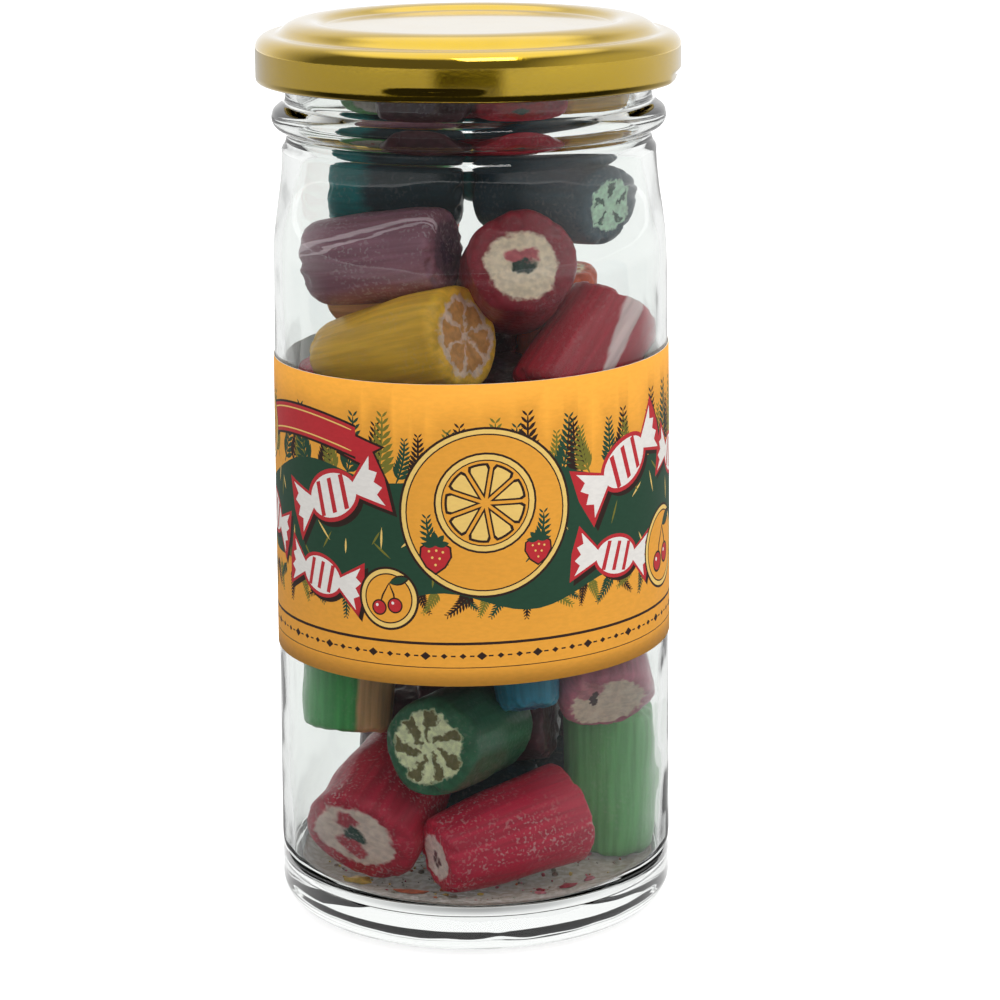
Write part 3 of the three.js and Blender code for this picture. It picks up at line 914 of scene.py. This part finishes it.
# Each flavour's rope, seen as its cut face. Sizes are shares of the rope's radius, and places are
# (x, y) with the rim at 1. The rind may have stripes, (turn, half width), another colour on one half,
# or a tail of another colour behind. In the core there may be a wheel of citrus, (colour, count, start,
# end, how much of its turn a segment fills), which swirl bends, and dots, (colour, radius, places), and
# a leaf, (colour, place, half widths). Dust is the sugar on it, and rough bends its edges.
FLAVOURS = {
    "grape": dict(
        rind=srgb(156, 106, 124), stripe=srgb(222, 192, 204), stripes=[(0.0, 0.07), (0.17, 0.03)],
        core=srgb(120, 86, 104), core_radius=0.66, dust=0.3, dots=(srgb(92, 56, 84), 0.17, [
            (0.0, 0.24), (-0.2, 0.05), (0.2, 0.05), (0.0, -0.2)])),
    "mint": dict(
        rind=srgb(34, 62, 72), tail=srgb(10, 134, 136), core=srgb(50, 70, 78), core_radius=0.62,
        dots=(srgb(40, 90, 88), 0.2, [(-0.15, 0.12), (0.17, 0.1), (0.0, -0.17)])),
    "kiwi": dict(
        rind=srgb(32, 64, 78), core=srgb(196, 232, 204), core_radius=0.64, rough=0.25,
        wheel=(srgb(40, 84, 66), 5, 0.14, 0.56, 0.32)),
    "strawberry": dict(
        rind=srgb(198, 44, 72), core=srgb(252, 226, 214), core_radius=0.72, core_place=(-0.03, -0.12),
        dust=0.45,
        dots=(srgb(206, 84, 100), 0.2, [(-0.25, -0.45), (0.3, 0.1), (0.22, -0.1)]),
        leaf=(srgb(44, 78, 70), (-0.05, -0.15), 0.17, 0.2)),
    # This look is the strawberry drawn darker in rind and core: painted shade, for the candies that sit
    # in shade under the lid and label and inside the heap.
    "cranberry": dict(
        rind=srgb(146, 30, 48), core=srgb(238, 216, 190), core_radius=0.66, core_place=(-0.03, -0.12),
        rough=0.18,
        dots=(srgb(196, 96, 104), 0.16, [(-0.1, 0.08), (0.1, 0.06)]),
        leaf=(srgb(44, 66, 58), (-0.02, -0.16), 0.22, 0.13)),
    "orange": dict(
        rind=srgb(222, 90, 40), core=srgb(246, 214, 170), core_radius=0.7,
        wheel=(srgb(226, 120, 56), 8, 0.12, 0.6, 0.66)),
    "lemon": dict(
        rind=srgb(252, 196, 68), core=srgb(248, 214, 190), core_radius=0.76, rough=0.25,
        wheel=(srgb(224, 160, 96), 6, 0.06, 0.66, 0.8)),
    "cherry": dict(
        rind=srgb(200, 38, 62), stripe=srgb(255, 222, 222), stripes=[(0.0, 0.15)],
        core=srgb(200, 24, 26), core_radius=0.6,
        dots=(srgb(150, 20, 36), 0.18, [(-0.2, -0.1), (0.2, -0.12)]),
        leaf=(srgb(56, 80, 62), (0.05, 0.25), 0.2, 0.1)),
    "plum": dict(
        rind=srgb(84, 40, 50), core=srgb(78, 38, 44), core_radius=0.62,
        dots=(srgb(72, 36, 54), 0.26, [(0.0, -0.02)])),
    "raspberry": dict(
        rind=srgb(208, 42, 74), core=srgb(252, 226, 218), core_radius=0.62, dust=0.38,
        dots=(srgb(110, 66, 74), 0.1, [(0.0, 0.16), (-0.14, 0.02), (0.14, 0.0), (0.0, -0.14)])),
    "apple": dict(
        rind=srgb(88, 188, 106), half=srgb(240, 190, 138), core=srgb(222, 226, 186), core_radius=0.66,
        dots=(srgb(72, 142, 76), 0.24, [(0.0, 0.0)])),
    "lime": dict(
        rind=srgb(56, 110, 80), core=srgb(240, 244, 198), core_radius=0.76, rough=0.25, swirl=0.5,
        wheel=(srgb(124, 116, 78), 7, 0.1, 0.74, 0.46)),
    "blueberry": dict(
        rind=srgb(56, 146, 176), core=srgb(60, 120, 150), core_radius=0.62,
        dots=(srgb(48, 70, 130), 0.16, [(-0.18, 0.08), (0.15, 0.15), (0.02, -0.16)])),
    "peach": dict(
        rind=srgb(204, 118, 140), core=srgb(252, 228, 208), core_radius=0.78, rough=0.25,
        dots=(srgb(214, 140, 150), 0.3, [(0.45, -0.5)]),
        leaf=(srgb(84, 56, 66), (0.3, -0.2), 0.07, 0.26)),
    "melon": dict(
        rind=srgb(120, 196, 124), core=srgb(236, 232, 220), core_radius=0.76,
        dots=(srgb(190, 70, 80), 0.07, [
            (-0.25, 0.1), (0.2, 0.2), (0.05, -0.2), (-0.1, -0.35), (0.32, -0.1)])),
}


def disc(shader, x, y, centre, rx, ry, soft=0.05):
    """1 inside an ellipse round centre, falling to 0 over a soft edge."""
    dx = shader.scaled(shader.math("SUBTRACT", x, centre[0]), 1 / rx)
    dy = shader.scaled(shader.math("SUBTRACT", y, centre[1]), 1 / ry)
    spread = soft / max(rx, ry)
    return shader.ramp(shader.span(dx, dy), 1 + spread, 1 - spread)


def wheel(shader, radius, angle, count, start, end, fill):
    """1 on each segment of a cut citrus, whose skins between them keep the same width."""
    turn = shader.math("FRACT", shader.scaled(angle, count / TAU))
    off = shader.math("ABSOLUTE", shader.math("SUBTRACT", turn, 0.5))
    wide = shader.scaled(off, shader.scaled(radius, TAU / count))
    edge = shader.scaled(radius, fill * math.pi / count)
    across = shader.ramp(shader.math("SUBTRACT", wide, edge), 0.03, -0.03)
    along = shader.ramp(radius, end + 0.03, end - 0.03)
    return shader.scaled(shader.scaled(across, along), shader.ramp(radius, start, start + 0.06))


def candy_material(name, look):
    candy = Shader(
        "candy_" + name, roughness=0.42, ior=1.5, subsurface_weight=0.25, subsurface_scale=0.0015,
        coat_weight=0.15, coat_roughness=0.2, specular_ior_level=0.35,
    )
    candy.set("Subsurface Radius", (1.0, 0.7, 0.5))
    rope = candy.add("ShaderNodeAttribute", {}, output="Vector", attribute_name="rope")
    seed = candy.add("ShaderNodeAttribute", {}, output="Fac", attribute_name="seed")
    shifted = candy.vector("ADD", rope, seed)
    bent = rope
    for scale, amount in ((2.2, 0.32), (8.0, look.get("rough", 0.15))):
        warp = candy.noise(candy.stretched(shifted, 1, 1, 0.3), scale, output="Color")
        warp = candy.vector("SUBTRACT", warp, (0.5, 0.5, 0.5))
        bent = candy.vector("ADD", bent, candy.tone(warp, amount))
    x, y, z = candy.parts(bent)
    radius = candy.span(x, y)
    angle = candy.math("ARCTAN2", y, x)
    twisted = candy.total(angle, candy.scaled(z, 0.25))

    # What is drawn in the rope, from the rind inwards: how much of each point it covers, and its colour.
    size = look["core_radius"]
    drawn = []
    if "half" in look:
        drawn.append((candy.ramp(x, 0.2, 0.34), look["half"]))
    if "tail" in look:
        drawn.append((candy.ramp(z, -0.3, -0.6), look["tail"]))
    for turn, width in look.get("stripes", []):
        off = candy.math("ABSOLUTE", candy.math("SUBTRACT", twisted, turn))
        drawn.append((candy.ramp(off, width * 1.3, width * 0.7), look["stripe"]))
    drawn.append((disc(candy, x, y, look.get("core_place", (0, 0)), size, size), look["core"]))
    if "wheel" in look:
        fill, *sizes = look["wheel"]
        swirled = candy.total(angle, candy.scaled(radius, look.get("swirl", 0.0)))
        drawn.append((wheel(candy, radius, swirled, *sizes), fill))
    if "dots" in look:
        fill, size, centres = look["dots"]
        drawn += [(disc(candy, x, y, centre, size, size), fill) for centre in centres]
    if "leaf" in look:
        fill, *sizes = look["leaf"]
        drawn.append((disc(candy, x, y, *sizes), fill))
    colour = look["rind"]
    for share, fill in drawn:
        colour = candy.mix(share, colour, fill)

    streaks = candy.noise(candy.stretched(shifted, 5, 5, 0.5), 1.6, detail=3.0)
    clouds = candy.noise(shifted, 1.3)
    grains = candy.noise(candy.place(), 1500.0)
    colour = candy.tone(colour, candy.ramp(streaks, 0.3, 0.72, 0.84, 1.14))
    specks = candy.ramp(candy.noise(candy.place(), 2100.0), 0.55, 0.63, 0.0, look.get("dust", 0.08))
    dust = candy.scaled(candy.ramp(clouds, 0.3, 0.75), specks)
    candy.set("Base Color", candy.mix(dust, colour, srgb(236, 222, 220)))
    candy.set("Roughness", candy.ramp(grains, 0.3, 0.7, 0.32, 0.5))
    height = candy.total(candy.scaled(streaks, 0.6), candy.scaled(grains, 0.25))
    candy.bump(height, 0.35, 0.0003)
    return candy.material


def make_candies():
    candies = [read_candy(row, True) for row in SHOWN] + [read_candy(row, False) for row in LOOSE]
    settle(candies)
    candies += [read_candy(row, True) for row in INNER]
    rng = random.Random(5)
    for flavour, look in FLAVOURS.items():
        points, places, seeds, faces = [], [], [], []
        for candy in candies:
            if candy.flavour != flavour:
                continue
            own, own_places, seed = candy_points(candy, rng)
            faces += candy_faces(len(points), len(own))
            points += own
            places += own_places
            seeds += [seed] * len(own)
        piece = make_mesh("candy_" + flavour, points, faces, [candy_material(flavour, look)])
        for name, kind, key, values in (
                ("rope", "FLOAT_VECTOR", "vector", places), ("seed", "FLOAT", "value", seeds)):
            data = piece.data.attributes.new(name, kind, "POINT").data
            data.foreach_set(key, np.asarray(values, np.float32).ravel())
        dress(piece, "candy", "candy_heap")


# ---- crumbs ----

CRUMBS = {
    "yellow": srgb(214, 180, 84), "orange": srgb(196, 96, 56), "pink": srgb(206, 120, 134),
    "red": srgb(160, 36, 56), "grey": srgb(150, 138, 122),
}
# How often each of these colours is picked, on the left and on the right.
WEIGHTS = ((4, 2, 1, 1, 7), (1, 1, 5, 4, 6))
CRUMB_COUNT, CRUMB_SPREAD = 420, 22.4
# How far below its middle a crumb is cut flat, as a share of its height.
CRUMB_FOOT = 0.4
# Centre x, y, then the size along x, y and z, the turn about Z in degrees, and the colour.
CHIPS = [
    (-17.3, -13.6, 6.0, 3.6, 2.4, 20, "yellow"), (-9.6, -18.6, 6.2, 2.6, 1.8, -8, "orange"),
    (13.5, -16.5, 3.4, 2.2, 1.5, 30, "red"), (16.8, -12.6, 2.8, 1.8, 1.4, 60, "pink"),
    (-3.4, -20.6, 2.0, 1.4, 1.0, 40, "grey"), (9.4, -19.4, 2.2, 1.5, 1.0, -30, "pink"),
]


def splinter(centre, sizes, turn, rng):
    """An angular chip with twenty faces, cut flat below."""
    golden = (1 + math.sqrt(5)) / 2
    pairs = [(a, b * golden) for a in (-1, 1) for b in (-1, 1)]
    corners = [(a, b, 0) for a, b in pairs] + [(0, a, b) for a, b in pairs]
    corners += [(b, 0, a) for a, b in pairs]
    points = []
    for corner in corners:
        grow = rng.uniform(0.75, 1.15) / math.hypot(1, golden) / 2
        x, y, z = (c * grow * s for c, s in zip(corner, sizes))
        points.append((*turned([(x, y)], turn, centre)[0], centre[2] + max(z, -CRUMB_FOOT * sizes[2])))
    faces = []
    for i, j, k in combinations(range(len(corners)), 3):
        a, b, c = (Vector(corners[n]) for n in (i, j, k))
        if max((a - b).length, (b - c).length, (a - c).length) < 2.1:
            faces.append((i, j, k) if (b - a).cross(c - a).dot(a + b + c) > 0 else (i, k, j))
    return points, faces


def floor_height(radius):
    """The top of the jar's inner floor."""
    half = floor_edge()[0] / 2
    if radius < half:
        return JAR.floor + JAR.floor_dome * (1 - 0.25 * radius / half)
    return JAR.floor + JAR.floor_dome * 0.75 * max(0.0, 2 - radius / half)


def crumb_material(name, colour):
    crumb = Shader("crumb_" + name, roughness=0.4, subsurface_weight=0.2, subsurface_scale=0.001)
    grains = crumb.noise(crumb.place(), 1200.0)
    crumb.set("Base Color", crumb.tone(colour, crumb.ramp(grains, 0.3, 0.7, 0.8, 1.2)))
    return crumb.material


def make_crumbs():
    """Chips and crumbs that lie on the jar's floor."""
    rng = random.Random(8)
    names = list(CRUMBS)
    bits = [(x, y, size, math.radians(turn), names.index(name)) for x, y, *size, turn, name in CHIPS]
    for _ in range(CRUMB_COUNT):
        turn, radius = rng.uniform(0, TAU), CRUMB_SPREAD * math.sqrt(rng.uniform(0.05, 1))
        size = rng.uniform(0.25, 0.6) if rng.random() < 0.8 else rng.uniform(0.6, 1.3)
        pick = rng.choices(range(len(names)), WEIGHTS[math.sin(turn) > 0])[0]
        sizes = [size * rng.uniform(0.8, 1.3), size * rng.uniform(0.7, 1.1), size * 0.8]
        x, y = radius * math.sin(turn), -radius * math.cos(turn)
        bits.append((x, y, sizes, rng.uniform(0, TAU), pick))
    points, faces, picks = [], [], []
    for x, y, sizes, turn, pick in bits:
        z = floor_height(math.hypot(x, y)) + sizes[2] * CRUMB_FOOT + 0.12
        own, own_faces = splinter((x, y, z), sizes, turn, rng)
        faces += [tuple(i + len(points) for i in face) for face in own_faces]
        points += own
        picks += [pick] * len(own_faces)
    materials = [crumb_material(name, colour) for name, colour in CRUMBS.items()]
    crumbs = make_mesh("crumbs", points, faces, materials, smooth=False, picks=picks)
    dress(crumbs, "candy", "candy_heap")


def make_dust_and_shade_film():
    """A tan-grey film on the jar's floor and low on its heel: sugar dust, and painted shade on the jar's
    floor.
    """
    film = Shader("sugar_dust_and_painted_shade", roughness=0.8, alpha=0.7)
    where = film.place()
    spots = film.ramp(film.noise(where, 900.0, detail=3.0), 0.4, 0.65)
    clouds = film.ramp(film.noise(where, 90.0), 0.35, 0.65)
    # The darker tan-grey in these clouds is painted shade as well as dust.
    cloudy = film.mix(clouds, srgb(150, 128, 112), srgb(184, 166, 146))
    film.set("Base Color", film.mix(spots, cloudy, srgb(214, 198, 182)))
    heel_r, heel_top = floor_edge()
    flat = [(r, floor_height(r)) for r in np.linspace(0, heel_r - 0.5, 9)]
    flat += arc(heel_r, heel_top, JAR.inner_heel, -86, -42, 6)
    low, high = ([(r - inwards * (r > heel_r), z + up) for r, z in flat]
                 for inwards, up in ((0.02, 0.04), (0.06, 0.1)))
    points, faces = lathe(low + high[::-1], 72)
    dress(make_mesh("sugar_dust_and_painted_shade", points, faces, [film.material]), "candy", "candy_heap")


# ---- floor, world and lights ----

# How bright the world is: in gloss from the front to the back, to the right and towards a band
# overhead, and as light on a surface from below the horizon to overhead, and from left to right.
# Each is where it starts and ends, and how bright it is there.
STUDIO = SimpleNamespace(
    around=(0.0, 0.7, 0.15, 1.0), right=(0.35, 0.9, 0.0, 0.7), overhead=(0.72, 0.9, 0.0, 1.6),
    overhead_axis=(0.0, 0.2, 0.98), light=(-0.5, 1.0, 0.2, 1.7), sides=(-0.8, 0.6, 0.74, 1.06))
# How bright the glowing sheet is, near the jar in front and behind, farther off on both sides, and in
# the gap in front. Then its radii in metres, its half turn, and the number of its steps round.
CARD = SimpleNamespace(
    near=0.02, back=0.8, left=0.6, right=0.85, gap=0.06,
    radii=(0.04, 2.5), half=math.radians(165), steps=44)
TOP_LIGHT = SimpleNamespace(place=(0.1, -0.35, 0.8), target=(0, 0, 0.07), side=0.3, strength=6.0)
FLOOR_HALF = 3000.0


def make_floor():
    """A white floor. Light from below and what shows through the glass come from the world."""
    white = Shader(
        "white_floor", base_color=(0.6, 0.6, 0.6, 1.0), roughness=0.9,
        emission_color=(1.0, 1.0, 1.0, 1.0), emission_strength=0.75)
    corners = [(x, y, 0) for x, y in bar(-FLOOR_HALF, FLOOR_HALF, 0, 2 * FLOOR_HALF)]
    floor = make_mesh("floor", corners, [(0, 1, 2, 3)], [white.material], smooth=False)
    floor.location.z = -0.0003
    floor.visible_diffuse = False
    floor.visible_transmission = False


def make_card():
    """A glowing sheet on the floor, that only gloss sees: dark near the jar and in the middle of the
    front, and bright farther off and behind. Its sizes are in metres."""
    glow = Shader(
        "card", base_color=(0, 0, 0, 1), roughness=1.0, specular_ior_level=0.0,
        emission_color=(1.0, 1.0, 1.0, 1.0))
    x, y, _ = glow.parts(glow.place())
    turn = glow.math("ABSOLUTE", glow.math("ARCTAN2", x, glow.scaled(y, -1.0)))
    away = glow.span(x, y)
    near = glow.ramp(turn, 1.3, 2.9, CARD.near, CARD.back)
    far = glow.ramp(x, -0.7, 0.7, CARD.left, CARD.right)
    dark = glow.ramp(away, 1.04, 1.16, 0.5, CARD.gap)
    far = glow.scaled(far, glow.ramp(turn, 0.22, 0.4, dark, 1.0))
    glow.set("Emission Strength", glow.ramp(away, 0.62, 0.95, near, far))
    turns = np.linspace(-CARD.half, CARD.half, CARD.steps + 1)
    points = [(r * math.sin(t) / MM, -r * math.cos(t) / MM, 0) for r in CARD.radii for t in turns]
    count = len(turns)
    faces = [(i, i + count, i + count + 1, i + 1) for i in range(CARD.steps)]
    card = make_mesh("card", points, faces, [glow.material], smooth=False)
    card.location.z = 0.001
    for kind in ("camera", "diffuse", "transmission", "volume_scatter", "shadow"):
        setattr(card, "visible_" + kind, False)


def make_world():
    """White behind the glass. What lights and what shines in it grow brighter towards the top."""
    world = bpy.data.worlds.new("studio")
    world.use_nodes = True
    sky = Nodes(world.node_tree)
    place = sky.place("Generated")
    x, y, z = sky.parts(place)
    lean = sky.vector("DOT_PRODUCT", place, STUDIO.overhead_axis, output="Value")
    path = sky.node("ShaderNodeLightPath", {}).outputs

    def ranged(value, *limits):
        return sky.ramp(value, *limits, kind="LINEAR")

    shine = sky.math("MAXIMUM", ranged(y, *STUDIO.around), ranged(lean, *STUDIO.overhead))
    shine = sky.math("MAXIMUM", shine, ranged(x, *STUDIO.right))
    light = sky.scaled(ranged(z, *STUDIO.light), ranged(x, *STUDIO.sides))
    glossy = ranged(path["Glossy Depth"], 0.0, 1.0, 1.0, shine)
    background = sky.tree.nodes["Background"].inputs
    sky.feed(background["Strength"], ranged(path["Diffuse Depth"], 0.0, 1.0, glossy, light))
    sky.feed(background["Color"], (1.0, 1.0, 1.0, 1.0))
    bpy.context.scene.world = world


def make_light():
    """A square light, in metres, whose strength is the brightness of its face."""
    data = bpy.data.lights.new("top_light", "AREA")
    data.shape = "RECTANGLE"
    data.size = data.size_y = TOP_LIGHT.side
    data.energy = TOP_LIGHT.strength * math.pi * TOP_LIGHT.side ** 2
    light = bpy.data.objects.new("top_light", data)
    bpy.context.scene.collection.objects.link(light)
    light.location = TOP_LIGHT.place
    aim = Vector(TOP_LIGHT.target) - Vector(TOP_LIGHT.place)
    light.rotation_euler = aim.to_track_quat("-Z", "Y").to_euler()


make_camera()
make_jar()
make_lid()
make_label()
make_candies()
make_crumbs()
make_dust_and_shade_film()
make_floor()
make_world()
make_card()
make_light()

bpy.context.scene.view_settings.view_transform = "Standard"
